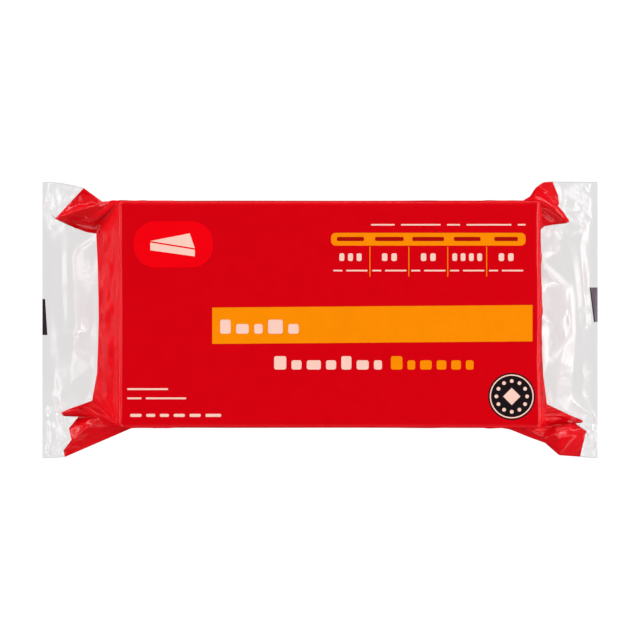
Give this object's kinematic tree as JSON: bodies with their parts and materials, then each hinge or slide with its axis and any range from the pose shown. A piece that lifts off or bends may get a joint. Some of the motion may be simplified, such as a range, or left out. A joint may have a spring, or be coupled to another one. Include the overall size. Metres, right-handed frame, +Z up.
{
  "type": "wrapped cheddar block",
  "caption": "Rectangular block of cheddar shut in glossy red printed film, with flat clear end seals and folded corner ears, lying on its back.",
  "frame": {"origin": "on the table, under the middle of the pack's outline", "axes": "+X along the block, towards the end where the film is tight; +Y across it, towards the top of the printed face; +Z up, out of the printed face"},
  "size_m": [0.2218, 0.1104, 0.057],
  "materials": {
    "printed_film": "glossy printed film",
    "clear_film": "glossy clear film"
  },
  "bodies": {
    "root": {"wrapped_block": "printed_film", "end_seal_left": "clear_film", "end_seal_right": "clear_film"}
  },
  "joints": []
}
